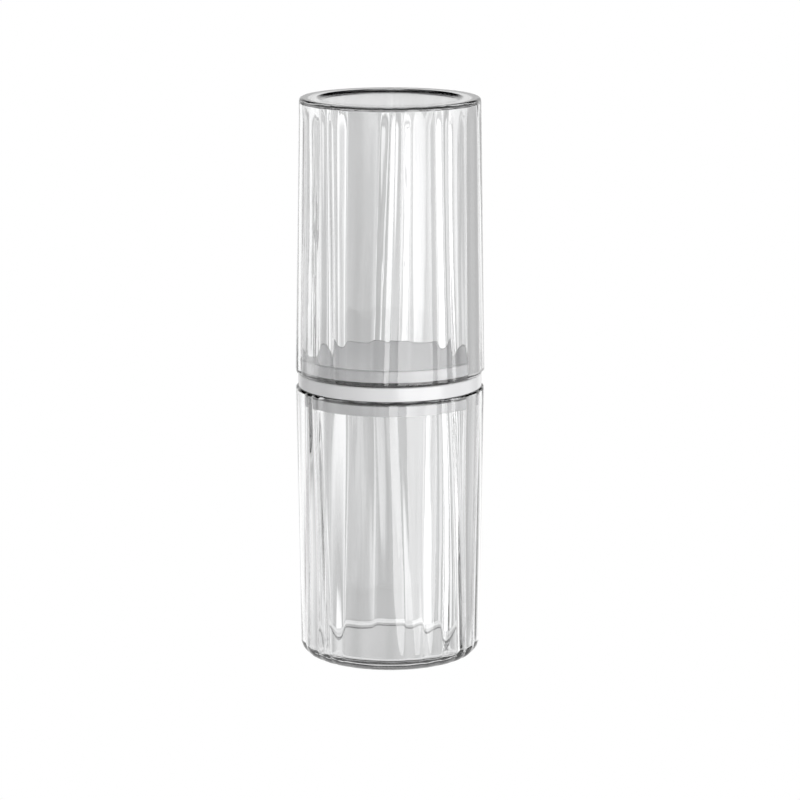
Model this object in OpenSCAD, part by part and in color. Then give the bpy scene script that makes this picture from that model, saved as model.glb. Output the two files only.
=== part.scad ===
// Toothbrush case: two clear fluted cups, mouth to mouth, plugged together by a white ring.
// The case stands on its closed lower end; +Z is up and the origin is the centre of its base.

/* [Overall size] */
// Height of the closed case
case_h = 200; // [150:1:240]
// Diameter over the flutes at the mouths, where the cups meet
mouth_d = 67; // [64:0.5:80]
// Diameter over the flutes at the two closed ends
end_d = 63.9; // [60:0.1:64]

/* [Cup walls] */
// Wall, from the top of a flute to the smooth inside
wall = 3.1; // [2:0.1:4]
// Height of the lower cup's inside floor above its base
floor_h = 3.6; // [3:0.1:6]
// Depth of the upper cup's inside end below the top of the case
roof_h = 1.7; // [1.5:0.1:5]
// Radius of the corner at the inside floor of the lower cup
floor_corner_r = 1; // [0.5:0.1:3]
// Radius of the corner at the inside end of the upper cup
roof_corner_r = 0.4; // [0.2:0.1:2]
// Rounding of the outside of each mouth rim
rim_r = 1.1; // [0.3:0.1:1.4]
// Chamfer inside each mouth, which leads the ring in
lead_in = 0.4; // [0.2:0.1:0.8]

/* [Closed ends] */
// Rounding around the base of the lower cup
base_edge_r = 5; // [1:0.5:6]
// Rounding around the top of the upper cup
top_edge_r = 1.2; // [0.6:0.1:3]
// Radius of the hollow under the base, inside its foot ring
foot_recess_r = 24.5; // [10:0.5:25]
// Depth of the hollow under the base
foot_recess_d = 0.6; // [0.4:0.1:1.6]
// Radius of the shallow recess in the top
top_recess_r = 25.5; // [15:0.1:27]
// Depth of the shallow recess in the top
top_recess_d = 0.9; // [0.4:0.1:1.1]
// How far the sides of both recesses slope in
recess_slope_w = 1.2; // [0.4:0.1:2]
// Rounding at the foot of both recesses
recess_fillet_r = 3; // [0.5:0.5:4]

/* [Joining ring] */
// Height of the band that shows between the cups
band_h = 5; // [3:0.5:10]
// How far the band stands back from the flutes at the mouths
band_inset = 0.95; // [0.5:0.05:1.5]
// Rounding of the band's two edges
band_edge_r = 0.45; // [0.2:0.05:1]
// Height of each skirt that plugs into a cup
skirt_h = 5.6; // [4:0.1:10]
// Thickness of the skirts
skirt_t = 1.8; // [1.2:0.1:2.5]
// Chamfer around the end of each skirt
skirt_chamfer = 0.5; // [0.2:0.1:0.8]
// Radial gap between a skirt and the mouth that it plugs into
plug_gap = 0.1; // [0.05:0.01:0.2]
// Space left beyond the end of a skirt in its seat
seat_spare = 0.6; // [0.2:0.1:2]

/* [Flutes] */
// Number of flutes around a cup
flute_count = 24; // [16:1:32]
// Depth of the creases between the flutes
flute_depth = 0.5; // [0.2:0.05:0.9]
// Height over which the flutes of the upper cup fade in from its closed end
flute_fade_h = 6; // [3:0.5:20]
// Strength of the flutes' sideways wander
flute_wander = 1; // [0:0.05:1.2]

/* [Hidden] */

// How closely the skin of a cup follows its curves
flute_steps = 5;
edge_steps = 4;
wall_steps = 13;
rim_steps = 2;
arc_steps = 6;
around_steps = flute_count * flute_steps;
overrun = 1;

cup_h = (case_h - band_h) / 2;
end_r = end_d / 2;
mouth_r = mouth_d / 2;
bore_r = mouth_r - wall;
seat_h = skirt_h + seat_spare;
band_r = mouth_r - band_inset;
skirt_r = bore_r - plug_gap;
ring_bore_r = skirt_r - skirt_t;

// Depth of the flutes at each closed end, as a share of their full depth
base_flute_share = 1;
top_flute_share = 0.35;

// Most of a recess's sloping side that its fillet may take up
fillet_side_share = 0.9;

// The flutes wander sideways as the sum of three waves that run around each cup. A wave is
// [waves around, sway in degrees, turn in degrees over the cup's height, start in degrees].
lower_waves = [[1, 5.5, 53, 116], [4, 3.5, 30, 153], [7, 2.2, 156, 319]];
upper_waves = [[2, 5.5, 31, 174], [5, 1.9, -98, 83], [8, 3, -20, 202]];
lower_start = 30;
upper_start = 2.2;

// Sway in degrees of the place u around a cup, at a share of the cup's height
function sway(waves, u, height_share) = flute_wander * (
    let (parts = [for (w = waves) w[1] * sin(w[0] * u + w[2] * height_share + w[3])])
    parts[0] + parts[1] + parts[2]);

// Radius over the flutes at height z above a cup's closed end
function crest_r(z) = end_r + (mouth_r - end_r) * z / cup_h;

// Radius of the smooth inside at height z above a cup's closed end
function inside_r(z) = crest_r(z) - wall;

// Points of an arc in a profile, from angle a0 to angle a1
function arc(x, z, r, a0, a1) = [for (i = [0 : arc_steps])
    let (a = a0 + (a1 - a0) * i / arc_steps) [x + r * cos(a), z + r * sin(a)]];

// Rows of a cup's skin from its closed end up, each [height, radius, share of the flute depth]
function skin_rows(edge_r, end_share, fade_h) = concat(
    [for (i = [0 : edge_steps]) let (a = 90 * i / edge_steps)
        [edge_r * (1 - cos(a)), crest_r(edge_r) - edge_r * (1 - sin(a)), end_share * sin(a)]],
    [for (i = [1 : wall_steps]) let (z = edge_r + (cup_h - rim_r - edge_r) * i / wall_steps)
        [z, crest_r(z), end_share + (1 - end_share) * min(1, (z - edge_r) / fade_h)]],
    [for (i = [1 : rim_steps]) let (a = 90 * i / rim_steps)
        [cup_h - rim_r * (1 - sin(a)), crest_r(cup_h) - rim_r * (1 - cos(a)), 1]]);

// One point of the skin. Step j counts around the cup: a crease lies on every flute_steps-th
// step, and the flute rises from it as a rounded lobe.
function skin_point(row, j, waves, start) =
    let (u = 360 * j / around_steps,
         lobe = sin(180 * (j % flute_steps) / flute_steps),
         r = row[1] - flute_depth * row[2] * (1 - lobe),
         a = start + u + sway(waves, u, row[0] / cup_h))
    [r * sin(a), -r * cos(a), row[0]];

// Outer skin of a cup, closed end down
module fluted_skin(edge_r, end_share, fade_h, waves, start) {
    rows = skin_rows(edge_r, end_share, fade_h);
    last = len(rows) - 1;
    n = around_steps;
    polyhedron(
        points = concat(
            [for (row = rows) for (j = [0 : n - 1]) skin_point(row, j, waves, start)],
            [[0, 0, cup_h]]),
        faces = concat(
            [[for (j = [0 : n - 1]) j]],
            [for (j = [0 : n - 1]) [last * n + (j + 1) % n, last * n + j, (last + 1) * n]],
            [for (k = [0 : last - 1]) for (j = [0 : n - 1]) let (next = (j + 1) % n)
                [k * n + j, (k + 1) * n + j, (k + 1) * n + next]],
            [for (k = [0 : last - 1]) for (j = [0 : n - 1]) let (next = (j + 1) % n)
                [k * n + j, (k + 1) * n + next, k * n + next]]),
        convexity = 4);
}

// The smooth inside of a cup: tapered wall, rounded corner, and a straight seat for the ring
module cup_inside(end_t, corner_r) {
    corner_z = end_t + corner_r;
    corner_x = inside_r(corner_z) - corner_r;
    seat_z = cup_h - seat_h;
    rotate_extrude($fn = 96)
        polygon(concat(
            [[0, end_t]],
            arc(corner_x, corner_z, corner_r, -90, 0),
            [[inside_r(seat_z), seat_z],
             [bore_r, seat_z],
             [bore_r, cup_h - lead_in],
             [bore_r + lead_in, cup_h],
             [bore_r + lead_in, cup_h + overrun],
             [0, cup_h + overrun]]));
}

// The shallow round hollow in a closed end. Its side slopes in, and a fillet that is tangent to
// both the side and the floor rounds its foot.
module end_recess(r, depth) {
    slope = atan2(depth, recess_slope_w);
    side = norm([depth, recess_slope_w]);
    fillet_r = min(recess_fillet_r, fillet_side_share * side / tan(slope / 2));
    fillet_x = r - recess_slope_w - fillet_r * tan(slope / 2);
    rotate_extrude($fn = 96)
        polygon(concat(
            [[0, -overrun], [r, -overrun], [r, 0]],
            arc(fillet_x, depth - fillet_r, fillet_r, 90 - slope, 90),
            [[0, depth]]));
}

module lower_cup() {
    color([0.93, 0.95, 0.96, 0.45])
        difference() {
            fluted_skin(base_edge_r, base_flute_share, flute_fade_h, lower_waves, lower_start);
            cup_inside(floor_h, floor_corner_r);
            end_recess(foot_recess_r, foot_recess_d);
        }
}

module upper_cup() {
    color([0.93, 0.95, 0.96, 0.45])
        translate([0, 0, case_h])
            mirror([0, 0, 1])
                difference() {
                    fluted_skin(top_edge_r, top_flute_share, flute_fade_h, upper_waves, upper_start);
                    cup_inside(roof_h, roof_corner_r);
                    end_recess(top_recess_r, top_recess_d);
                }
}

// Profile of the upper half of the ring, from its mid height up
function ring_half() = concat(
    arc(band_r - band_edge_r, band_h / 2 - band_edge_r, band_edge_r, 0, 90),
    [[skirt_r, band_h / 2],
     [skirt_r, band_h / 2 + skirt_h - skirt_chamfer],
     [skirt_r - skirt_chamfer, band_h / 2 + skirt_h],
     [ring_bore_r, band_h / 2 + skirt_h]]);

module joining_ring() {
    half = ring_half();
    mirrored = [for (i = [len(half) - 1 : -1 : 0]) [half[i][0], -half[i][1]]];
    color([0.97, 0.97, 0.97])
        translate([0, 0, case_h / 2])
            rotate_extrude($fn = 96)
                polygon(concat(mirrored, half));
}

lower_cup();
joining_ring();
upper_cup();
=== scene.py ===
import bpy
import bmesh
import math
from mathutils import Matrix, Vector


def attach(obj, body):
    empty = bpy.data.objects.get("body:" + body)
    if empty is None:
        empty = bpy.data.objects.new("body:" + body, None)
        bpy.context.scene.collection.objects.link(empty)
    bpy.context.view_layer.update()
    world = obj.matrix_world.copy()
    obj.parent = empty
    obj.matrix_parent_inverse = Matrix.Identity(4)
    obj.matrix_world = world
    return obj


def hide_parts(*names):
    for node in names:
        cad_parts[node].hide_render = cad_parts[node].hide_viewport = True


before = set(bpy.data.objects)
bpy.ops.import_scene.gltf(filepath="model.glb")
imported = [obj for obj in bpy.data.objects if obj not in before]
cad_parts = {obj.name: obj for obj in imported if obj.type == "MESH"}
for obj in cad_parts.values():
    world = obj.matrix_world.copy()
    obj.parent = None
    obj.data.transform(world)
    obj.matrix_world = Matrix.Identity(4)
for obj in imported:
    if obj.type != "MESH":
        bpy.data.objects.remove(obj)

scene = bpy.context.scene
scene.view_settings.view_transform = "Standard"
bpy.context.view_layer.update()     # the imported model's box, before anything is added
mm = 0.001
print("frame loaded:", len(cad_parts), "nodes")


# Node helpers

def newMaterial(name):
    mat = bpy.data.materials.new(name)
    mat.use_nodes = True
    nodes, links = mat.node_tree.nodes, mat.node_tree.links
    return mat, nodes, links, nodes["Principled BSDF"]


def feed(links, value, socket):      # sets a plain value, or links what another node gives
    if isinstance(value, bpy.types.NodeSocket):
        links.new(value, socket)
    else:
        socket.default_value = value


def reckon(nodes, links, operation, *values):
    node = nodes.new("ShaderNodeMath")
    node.operation = operation
    for socket, value in zip(node.inputs, values):
        feed(links, value, socket)
    return node.outputs["Value"]


def reached(nodes, links, depth, count):     # 1 once a ray's depth has come to this count
    return reckon(nodes, links, "GREATER_THAN", depth, count - 0.5)


def spread(nodes, links, fac, low, high, start=0.3, end=0.7):
    span = nodes.new("ShaderNodeMapRange")
    span.inputs["From Min"].default_value = start
    span.inputs["From Max"].default_value = end
    span.inputs["To Min"].default_value = low
    span.inputs["To Max"].default_value = high
    links.new(fac, span.inputs["Value"])
    return span.outputs["Result"]


def splitVector(nodes, links, vector):
    split = nodes.new("ShaderNodeSeparateXYZ")
    links.new(vector, split.inputs["Vector"])
    return [split.outputs[axis] for axis in "XYZ"]


def mixColours(nodes, links, share, first, second, how="MIX"):
    mix = nodes.new("ShaderNodeMix")
    mix.data_type = "RGBA"
    mix.blend_type = how
    feed(links, share, mix.inputs["Factor"])
    feed(links, first, mix.inputs["A"])
    feed(links, second, mix.inputs["B"])
    return mix.outputs["Result"]


def noiseOn(nodes, links, stretch, scale, detail):   # noise over the piece's own metres
    place = nodes.new("ShaderNodeTexCoord")
    size = nodes.new("ShaderNodeMapping")
    size.inputs["Scale"].default_value = stretch
    links.new(place.outputs["Object"], size.inputs["Vector"])
    noise = nodes.new("ShaderNodeTexNoise")
    noise.inputs["Scale"].default_value = scale
    noise.inputs["Detail"].default_value = detail
    links.new(size.outputs["Vector"], noise.inputs["Vector"])
    return noise.outputs["Fac"]


def bumpFrom(nodes, links, height, depth, strength):
    bump = nodes.new("ShaderNodeBump")
    bump.inputs["Distance"].default_value = depth
    feed(links, strength, bump.inputs["Strength"])
    links.new(height, bump.inputs["Height"])
    return bump.outputs["Normal"]


# Mesh helpers. Profiles are drawn in millimetres in the XZ plane and spun about Z. Each corner of
# a profile is (x, z, radius of its rounding, segments of it), with no segments where it is sharp.

def drawProfile(corners, closed=False):
    bm = bmesh.new()
    verts = [bm.verts.new((x, 0, z)) for x, z, radius, segments in corners]
    for a, b in zip(verts, verts[1:]):
        bm.edges.new((a, b))
    if closed:
        bm.edges.new((verts[-1], verts[0]))
    for vert, (x, z, radius, segments) in zip(verts, corners):
        if segments:
            bmesh.ops.bevel(bm, geom=[vert], offset=radius, offset_type="OFFSET",
                            segments=segments, profile=0.5, affect="VERTICES", material=-1)
    return bm


def spinProfile(bm, steps):
    bmesh.ops.spin(bm, geom=bm.verts[:] + bm.edges[:], cent=(0, 0, 0), axis=(0, 0, 1),
                   dvec=(0, 0, 0), angle=math.tau, steps=steps, use_merge=True, use_duplicate=False)
    bmesh.ops.remove_doubles(bm, verts=bm.verts, dist=0.0001)
    bmesh.ops.recalc_face_normals(bm, faces=bm.faces)


def finishPiece(bm, name, material, body, node):
    for face in bm.faces:
        face.smooth = True
    bmesh.ops.scale(bm, vec=(mm, mm, mm), verts=bm.verts)
    mesh = bpy.data.meshes.new(name)
    bm.to_mesh(mesh)
    bm.free()
    piece = bpy.data.objects.new(name, mesh)
    scene.collection.objects.link(piece)
    mesh.materials.append(material)
    even = piece.modifiers.new("evenShading", "WEIGHTED_NORMAL")
    even.weight = 90     # wide faces stay flat beside narrow roundings
    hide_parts(node)
    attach(piece, body)
    print("made", name, "with", len(mesh.polygons), "faces")
    return piece


# Clear moulded plastic of both cups
clearLook = {
    "tint": (0.982, 0.984, 0.986, 1),
    "ior": 1.56,
    "handled": {"stretch": (1, 1, 1), "scale": 60, "detail": 3},
    "polish": (0.0, 0.012),        # roughness where clean, and where handled
    "flow": {"stretch": (1, 1, 0.06), "scale": 520, "detail": 1.5},   # streaks up the wall
    "flowDepth": 0.00002,          # metres
    "flowShare": (1, 0.05),        # on the walls, and on the closed ends
    "endTilt": (0.3, 0.8),         # upward or downward tilt over which a wall becomes an end
}


def makeClearPlastic():
    mat, nodes, links, shader = newMaterial("clearMouldedPlastic")
    shader.inputs["Base Color"].default_value = clearLook["tint"]
    shader.inputs["IOR"].default_value = clearLook["ior"]
    shader.inputs["Transmission Weight"].default_value = 1.0
    handled = noiseOn(nodes, links, **clearLook["handled"])
    links.new(spread(nodes, links, handled, *clearLook["polish"]), shader.inputs["Roughness"])
    flow = noiseOn(nodes, links, **clearLook["flow"])
    facing = nodes.new("ShaderNodeNewGeometry")
    upward = splitVector(nodes, links, facing.outputs["Normal"])[2]
    tilt = reckon(nodes, links, "ABSOLUTE", upward)
    strength = spread(nodes, links, tilt, *clearLook["flowShare"], *clearLook["endTilt"])
    links.new(bumpFrom(nodes, links, flow, clearLook["flowDepth"], strength),
              shader.inputs["Normal"])
    return mat


clearPlastic = makeClearPlastic()
print("clear plastic made")


# Shape that the two cups share, in millimetres, each cup standing on its closed end
cup = {
    "caseHeight": 200.0,
    "height": 97.5,
    "mouthRadius": 33.5,
    "endRadius": 31.95,
    "wall": 3.1,
    "seatHeight": 6.2,
    "rimRound": 1.1,
    "leadIn": 0.4,
    "recessSlope": 1.2,
    "recessFillet": 3.0,
    "recessRound": 0.3,
    "flutes": 24,
    "fluteDepth": 0.5,
    "fluteFade": 6.0,
    "creaseSoftness": 0.1,
    "stepsPerFlute": 16,
    "rowsUpTheWall": 64,
    "pastRecess": 0.1,       # how far outside the recess's rounding the outer skin starts
    "pastLeadIn": 1.2,       # and how many lead-ins outside the smooth inside
    "underFloor": 0.01,      # and how far below the inside floor only the first of them counts
}

# Segments of the cups' roundings
cupSegments = {"fillet": 8, "recess": 4, "edge": 12, "rim": 5, "leadIn": 4, "innerCorner": 8}

# What differs between them. A wave is: waves around, sway in degrees, turn over the height, start.
lowerCup = {
    "floor": 3.6,
    "innerCorner": 1.0,
    "edgeRound": 5.0,
    "recessRadius": 24.5,
    "recessDepth": 0.6,
    "endFluteShare": 1.0,
    "firstCrease": 30.0,
    "waves": ((1, 5.5, 53, 116), (4, 3.5, 30, 153), (7, 2.2, 156, 319)),
}
upperCup = {
    "floor": 1.7,
    "innerCorner": 0.4,
    "edgeRound": 1.2,
    "recessRadius": 25.5,
    "recessDepth": 0.9,
    "endFluteShare": 0.35,
    "firstCrease": 2.2,
    "waves": ((2, 5.5, 31, 174), (5, 1.9, -98, 83), (8, 3.0, -20, 202)),
}


def crestRadius(z):      # radius over the flutes, z above the closed end
    return cup["endRadius"] + (cup["mouthRadius"] - cup["endRadius"]) * z / cup["height"]


def insideRadius(z):
    return crestRadius(z) - cup["wall"]


def fluteShare(own, z):  # share of the flute depth at a height
    edge = own["edgeRound"]
    if z < edge:
        return own["endFluteShare"] * math.sqrt(max(0.0, 1 - (1 - z / edge) ** 2))
    grown = min(1.0, (z - edge) / cup["fluteFade"])
    return own["endFluteShare"] + (1 - own["endFluteShare"]) * grown


def onOuterSkin(own, r, z):
    if z < own["floor"] - cup["underFloor"]:
        return r > own["recessRadius"] + cup["recessRound"] + cup["pastRecess"]
    return r > insideRadius(z) + cup["pastLeadIn"] * cup["leadIn"]


def pressFlutes(bm, own):    # turns and dents the outer skin into wandering flutes
    soft = cup["creaseSoftness"]
    for v in bm.verts:
        r, z = math.hypot(v.co.x, v.co.y), v.co.z
        if not onOuterSkin(own, r, z):
            continue
        u = math.degrees(math.atan2(v.co.x, -v.co.y)) % 360
        wave = abs(math.sin(math.radians(u * cup["flutes"] / 2)))
        lobe = (math.sqrt(wave ** 2 + soft ** 2) - soft) / (math.sqrt(1 + soft ** 2) - soft)
        r -= cup["fluteDepth"] * fluteShare(own, z) * (1 - lobe)
        sway = sum(reach * math.sin(math.radians(around * u + turn * z / cup["height"] + start))
                   for around, reach, turn, start in own["waves"])
        angle = math.radians(u + sway)
        v.co = (r * math.sin(angle), -r * math.cos(angle), z)
    turn = Matrix.Rotation(math.radians(own["firstCrease"]), 3, "Z")
    bmesh.ops.rotate(bm, cent=(0, 0, 0), matrix=turn, verts=bm.verts)


def cupProfile(own):     # from the middle of the closed end, round the mouth, to the inside floor
    height, floor, depth = cup["height"], own["floor"], own["recessDepth"]
    bore, seat = insideRadius(height), height - cup["seatHeight"]
    recess, slope = own["recessRadius"], cup["recessSlope"]
    fillet = cup["recessFillet"] * math.tan(math.atan2(depth, slope) / 2)
    return [(0, depth, 0, 0),
            (recess - slope, depth, fillet, cupSegments["fillet"]),
            (recess, 0, cup["recessRound"], cupSegments["recess"]),
            (crestRadius(0), 0, own["edgeRound"], cupSegments["edge"]),
            (crestRadius(height), height, cup["rimRound"], cupSegments["rim"]),
            (bore, height, cup["leadIn"], cupSegments["leadIn"]),
            (bore, seat, 0, 0),
            (insideRadius(seat), seat, 0, 0),
            (insideRadius(floor), floor, own["innerCorner"], cupSegments["innerCorner"]),
            (0, floor, 0, 0)]


def makeCup(own, name, body, node, turnedOver):
    bm = drawProfile(cupProfile(own))
    walls = sorted(bm.edges, key=lambda e: e.calc_length(), reverse=True)[:2]
    outerWall = max(walls, key=lambda e: e.verts[0].co.x + e.verts[1].co.x)
    bmesh.ops.subdivide_edges(bm, edges=[outerWall], cuts=cup["rowsUpTheWall"])
    spinProfile(bm, cup["flutes"] * cup["stepsPerFlute"])
    pressFlutes(bm, own)
    if turnedOver:
        bmesh.ops.scale(bm, vec=(1, 1, -1), verts=bm.verts)
        bmesh.ops.translate(bm, vec=(0, 0, cup["caseHeight"]), verts=bm.verts)
        bmesh.ops.recalc_face_normals(bm, faces=bm.faces)
    return finishPiece(bm, name, clearPlastic, body, node)


makeCup(lowerCup, "lowerCupShell", "lower", "lower_cup", False)
makeCup(upperCup, "upperCupShell", "upper", "upper_cup", True)


# White ring that plugs the cups together, in millimetres
ring = {
    "middle": 100.0,
    "bandHeight": 5.0,
    "bandRadius": 32.55,
    "bandRound": 0.45,
    "skirtRadius": 30.3,
    "skirtHeight": 5.6,
    "skirtWall": 1.8,
    "skirtRound": 0.5,
    "boreRound": 0.3,
    "steps": 240,
}

# Segments of the ring's roundings
ringSegments = {"band": 5, "skirt": 4, "bore": 3}

whiteLook = {
    "colour": (0.95, 0.95, 0.955, 1),
    "shaded": (0.91, 0.91, 0.92, 1),
    "ior": 1.5,
    "cloud": {"stretch": (1, 1, 1), "scale": 45, "detail": 3},
    "gloss": (0.16, 0.24),         # roughness, where shaded and where not
    "grain": {"stretch": (1, 1, 1), "scale": 2600, "detail": 2},
    "grainDepth": 0.000012,        # metres
}

# Painted shade: a dark line painted on the foot of each skirt, where it sits in the rim of a cup,
# standing in for the shadow in that seat, and shown only through a cup. It lies between two
# radii, and each stop is a distance from the band with the tone there, 1 for white.
paintedSeatShade = {
    "radii": (29.5, 32.1),
    "span": 2.5,
    "upper": ((0.0, 0.2), (0.6, 0.2), (0.8, 0.01), (1.4, 0.01), (1.7, 1.0)),
    "lower": ((0.0, 0.01), (1.6, 0.01), (2.1, 1.0)),
}


def toneRamp(nodes, links, fac, stops):
    ramp = nodes.new("ShaderNodeValToRGB")
    marks = ramp.color_ramp.elements
    while len(marks) < len(stops):
        marks.new(0.5)       # its place follows
    for mark, (distance, tone) in zip(marks, stops):
        mark.position = distance / paintedSeatShade["span"]
        mark.color = (tone, tone, tone, 1)
    links.new(fac, ramp.inputs["Fac"])
    return ramp.outputs["Color"]


def makePaintedSeatShade(nodes, links):     # white, with painted shade along the seat when seen through a cup
    def sums(operation, *values):
        return reckon(nodes, links, operation, *values)

    place = nodes.new("ShaderNodeTexCoord")
    x, y, z = splitVector(nodes, links, place.outputs["Object"])
    radius = sums("SQRT", sums("MULTIPLY_ADD", x, x, sums("MULTIPLY", y, y)))
    above = sums("SUBTRACT", z, ring["middle"] * mm)
    fromBand = sums("SUBTRACT", sums("ABSOLUTE", above), ring["bandHeight"] / 2 * mm)
    fac = sums("DIVIDE", fromBand, paintedSeatShade["span"] * mm)
    line = mixColours(nodes, links, sums("GREATER_THAN", above, 0.0),
                      toneRamp(nodes, links, fac, paintedSeatShade["lower"]),
                      toneRamp(nodes, links, fac, paintedSeatShade["upper"]))
    inner, outer = paintedSeatShade["radii"]
    onFoot = sums("MULTIPLY", sums("GREATER_THAN", radius, inner * mm),
                  sums("LESS_THAN", radius, outer * mm))
    path = nodes.new("ShaderNodeLightPath")
    through = reached(nodes, links, path.outputs["Transmission Depth"], 1)
    return mixColours(nodes, links, sums("MULTIPLY", onFoot, through), (1, 1, 1, 1), line)


def makeWhitePlastic():
    mat, nodes, links, shader = newMaterial("whiteMouldedPlastic")
    shader.inputs["IOR"].default_value = whiteLook["ior"]
    cloud = noiseOn(nodes, links, **whiteLook["cloud"])
    plain = mixColours(nodes, links, spread(nodes, links, cloud, 0, 1),
                       whiteLook["shaded"], whiteLook["colour"])
    # the base colour is darkened by the painted seat shade
    withPaintedShade = mixColours(nodes, links, 1.0, plain, makePaintedSeatShade(nodes, links), "MULTIPLY")
    links.new(withPaintedShade, shader.inputs["Base Color"])
    links.new(spread(nodes, links, cloud, *whiteLook["gloss"]), shader.inputs["Roughness"])
    grain = noiseOn(nodes, links, **whiteLook["grain"])
    links.new(bumpFrom(nodes, links, grain, whiteLook["grainDepth"], 1.0),
              shader.inputs["Normal"])
    return mat


def ringProfile():       # anticlockwise from the foot of the lower skirt's inside
    skirt, bore = ring["skirtRadius"], ring["skirtRadius"] - ring["skirtWall"]
    half = ring["bandHeight"] / 2
    reach = half + ring["skirtHeight"]
    return [(bore, -reach, ring["boreRound"], ringSegments["bore"]),
            (skirt, -reach, ring["skirtRound"], ringSegments["skirt"]),
            (skirt, -half, 0, 0),
            (ring["bandRadius"], -half, ring["bandRound"], ringSegments["band"]),
            (ring["bandRadius"], half, ring["bandRound"], ringSegments["band"]),
            (skirt, half, 0, 0),
            (skirt, reach, ring["skirtRound"], ringSegments["skirt"]),
            (bore, reach, ring["boreRound"], ringSegments["bore"])]


def makeRing():
    bm = drawProfile(ringProfile(), closed=True)
    spinProfile(bm, ring["steps"])
    bmesh.ops.translate(bm, vec=(0, 0, ring["middle"]), verts=bm.verts)
    return finishPiece(bm, "joiningRing", whitePlastic, "ring", "joining_ring")


whitePlastic = makeWhitePlastic()
print("white plastic made")
makeRing()


# Studio: a pale floor, a surround of soft panels, two lamps and the camera
floorLook = {
    "radius": 0.24,
    "segments": 96,
    "drop": 0.0002,          # metres below the base
    "colour": (0.9, 0.9, 0.9, 1),
    "roughness": 0.9,
}


def makeFloor():
    bm = bmesh.new()
    bmesh.ops.create_circle(bm, cap_ends=True, radius=floorLook["radius"],
                            segments=floorLook["segments"])
    mesh = bpy.data.meshes.new("paleFloor")
    bm.to_mesh(mesh)
    bm.free()
    floor = bpy.data.objects.new("paleFloor", mesh)
    scene.collection.objects.link(floor)
    floor.location.z = -floorLook["drop"]
    mat, nodes, links, shader = newMaterial("paleFloor")
    shader.inputs["Base Color"].default_value = floorLook["colour"]
    shader.inputs["Roughness"].default_value = floorLook["roughness"]
    glow = nodes.new("ShaderNodeEmission")           # plain white to the camera
    clear = nodes.new("ShaderNodeBsdfTransparent")   # clear to what is seen in or through plastic
    path = nodes.new("ShaderNodeLightPath")
    seen, through = nodes.new("ShaderNodeMixShader"), nodes.new("ShaderNodeMixShader")
    links.new(path.outputs["Is Camera Ray"], seen.inputs["Fac"])
    links.new(shader.outputs["BSDF"], seen.inputs[1])
    links.new(glow.outputs["Emission"], seen.inputs[2])
    either = reckon(nodes, links, "MAXIMUM", path.outputs["Is Glossy Ray"],
                    path.outputs["Is Transmission Ray"])
    links.new(either, through.inputs["Fac"])
    links.new(seen.outputs["Shader"], through.inputs[1])
    links.new(clear.outputs["BSDF"], through.inputs[2])
    links.new(through.outputs["Shader"], nodes["Material Output"].inputs["Surface"])
    mesh.materials.append(mat)


# Light that the case stands in, by elevation in degrees. Each pair is where one level gives way
# to the next: floor, panels with gaps between them, even light, dark, softer light from overhead.
surround = {
    "floorLevel": 0.85,
    "panelFoot": (-28, -18),
    "panels": 8,
    "panelLevel": 1.2,
    "gapLevel": 0.5,
    "eyeLevel": (-5, 0),
    "skyLevel": 0.87,
    "dimAbove": (12, 24),
    "darkLevel": 0.0,
    "topLight": (45, 70),
    "topLevel": 0.6,
}

# Light lost to rays that were reflected inside clear plastic: how many reflections it takes, the
# elevations over which the loss fades out, and the share that is lost below them
lostInside = (
    (1, (-62, -33), 1.0),
    (2, (-20, -16), 1.0),
    (2, (80, 90), 0.5),
)


def makeSurround():
    world = bpy.data.worlds.new("studioSurround")
    scene.world = world
    world.use_nodes = True
    nodes, links = world.node_tree.nodes, world.node_tree.links

    def sums(operation, *values):
        return reckon(nodes, links, operation, *values)

    place = nodes.new("ShaderNodeTexCoord")
    x, y, z = splitVector(nodes, links, place.outputs["Generated"])

    def fade(degrees, first, last):      # from one value to another over some elevations
        blend = nodes.new("ShaderNodeMapRange")
        blend.interpolation_type = "SMOOTHSTEP"
        blend.inputs["From Min"].default_value = math.sin(math.radians(degrees[0]))
        blend.inputs["From Max"].default_value = math.sin(math.radians(degrees[1]))
        blend.inputs["To Min"].default_value = first
        blend.inputs["To Max"].default_value = last
        links.new(z, blend.inputs["Value"])
        return blend.outputs["Result"]

    ripple = sums("COSINE", sums("MULTIPLY", sums("ARCTAN2", x, y), surround["panels"]))
    middle = (surround["panelLevel"] + surround["gapLevel"]) / 2
    swing = (surround["panelLevel"] - surround["gapLevel"]) / 2
    around = sums("MULTIPLY_ADD", ripple, -swing, middle)
    onPanels = sums("SUBTRACT", fade(surround["panelFoot"], 0, 1), fade(surround["eyeLevel"], 0, 1))
    below = fade(surround["eyeLevel"], surround["floorLevel"], surround["skyLevel"])
    even = sums("MULTIPLY", below, fade(surround["dimAbove"], 1, surround["darkLevel"]))
    even = sums("MAXIMUM", even, fade(surround["topLight"], 0, surround["topLevel"]))
    level = sums("MULTIPLY_ADD", sums("SUBTRACT", around, even), onPanels, even)
    path = nodes.new("ShaderNodeLightPath")
    inside = sums("MULTIPLY", reached(nodes, links, path.outputs["Transmission Depth"], 1),
                  sums("LESS_THAN", path.outputs["Diffuse Depth"], 0.5))
    for bounces, elevations, share in lostInside:
        bounced = reached(nodes, links, path.outputs["Glossy Depth"], bounces)
        lost = sums("MULTIPLY", inside, sums("MULTIPLY", bounced, fade(elevations, 1, 0)))
        level = sums("MULTIPLY", level, sums("MULTIPLY_ADD", lost, -share, 1.0))
    notSeen = sums("SUBTRACT", 1.0, path.outputs["Is Camera Ray"])
    strength = sums("MULTIPLY_ADD", level, notSeen, path.outputs["Is Camera Ray"])
    back = nodes["Background"]
    back.inputs["Color"].default_value = (1, 1, 1, 1)
    links.new(strength, back.inputs["Strength"])


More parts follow.
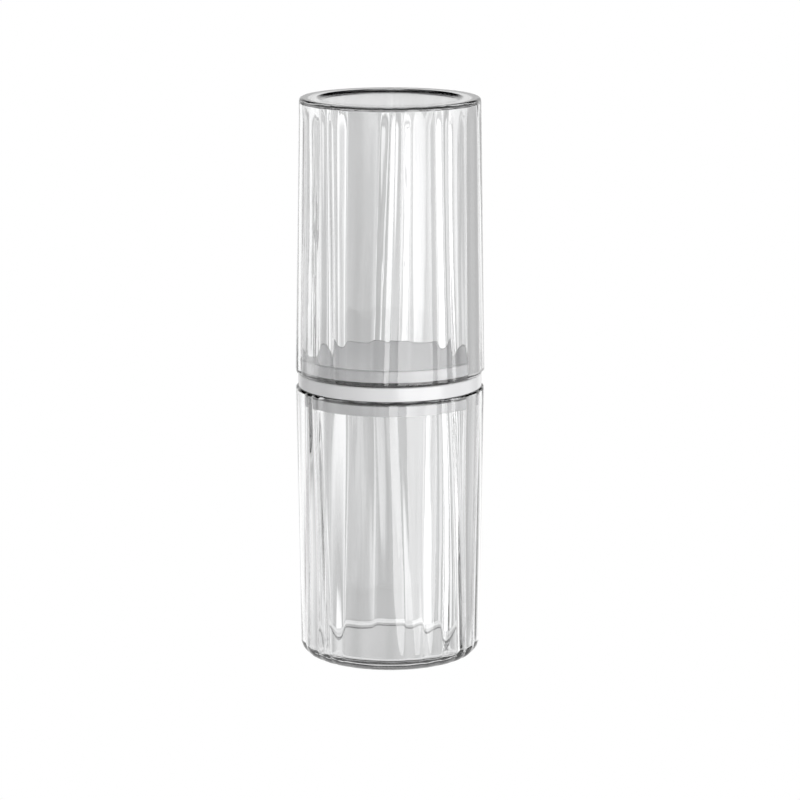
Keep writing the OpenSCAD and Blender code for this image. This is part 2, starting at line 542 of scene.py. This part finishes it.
def addLamp(name, place, target, size, power):
    light = bpy.data.lights.new(name, "AREA")
    light.shape = "RECTANGLE"
    light.size, light.size_y = size
    light.energy = power
    lamp = bpy.data.objects.new(name, light)
    scene.collection.objects.link(lamp)
    lamp.location = place
    lamp.rotation_euler = (Vector(target) - Vector(place)).to_track_quat("-Z", "Y").to_euler()
    lamp.visible_camera = False
    return lamp


# Wide soft light to the right of the camera
stripLight = {
    "azimuth": 38.2,         # degrees to the right of the camera, seen from the case
    "distance": 1.2,
    "height": -0.135,
    "size": (1.31, 0.45),
    "power": 7.0,
    "insideShare": 0.15,     # how much of it shows in the inner faces of clear walls
}


def addStripLight():
    aside, height = math.radians(stripLight["azimuth"]), stripLight["height"]
    place = (stripLight["distance"] * math.sin(aside), -stripLight["distance"] * math.cos(aside),
             height)
    lamp = addLamp("stripLightFrontRight", place, (0, 0, height), stripLight["size"],
                   stripLight["power"])
    lamp.data.use_nodes = True
    nodes, links = lamp.data.node_tree.nodes, lamp.data.node_tree.links
    path = nodes.new("ShaderNodeLightPath")
    outside = reckon(nodes, links, "SUBTRACT", 1.0, path.outputs["Transmission Depth"])
    lit = reckon(nodes, links, "MAXIMUM", outside, path.outputs["Diffuse Depth"])
    kept = reckon(nodes, links, "MAXIMUM", lit, stripLight["insideShare"])
    kept.node.use_clamp = True
    links.new(kept, nodes["Emission"].inputs["Strength"])


# Soft fill from behind. It lights only matt surfaces, so the ring is white from every side.
fillLight = {
    "place": (0.0, 1.2, 0.35),
    "size": (0.9, 0.9),
    "power": 5.2,
}


def addFillLight():
    middle = (0, 0, ring["middle"] * mm)
    lamp = addLamp("softFillBehind", fillLight["place"], middle, fillLight["size"],
                   fillLight["power"])
    lamp.visible_glossy = False
    lamp.visible_transmission = False


# Camera, found from the outline of the case: distance, height, tilt and framing of the photograph
view = {
    "distance": 1.230,
    "height": 0.3385,
    "tiltDown": 11.48,
    "focalPixels": 3524.0,
    "imagePixels": 800.0,
    "centrePixel": (389.97, 408.64),
    "sensor": 36.0,
    "clip": (0.05, 50),
}


def makeCamera():
    data = bpy.data.cameras.new("photoCamera")
    data.sensor_width = view["sensor"]
    data.lens = view["focalPixels"] * view["sensor"] / view["imagePixels"]
    data.shift_x = 0.5 - view["centrePixel"][0] / view["imagePixels"]
    data.shift_y = view["centrePixel"][1] / view["imagePixels"] - 0.5
    data.clip_start, data.clip_end = view["clip"]
    camera = bpy.data.objects.new("photoCamera", data)
    scene.collection.objects.link(camera)
    camera.location = (0, -view["distance"], view["height"])
    camera.rotation_euler = (math.radians(90 - view["tiltDown"]), 0, 0)
    scene.camera = camera


makeFloor()
makeSurround()
addStripLight()
addFillLight()
makeCamera()
scene.cycles.max_bounces = 24        # clear walls behind clear walls take many
scene.cycles.transmission_bounces = 24
scene.cycles.glossy_bounces = 16
print("studio ready")

bpy.context.view_layer.update()
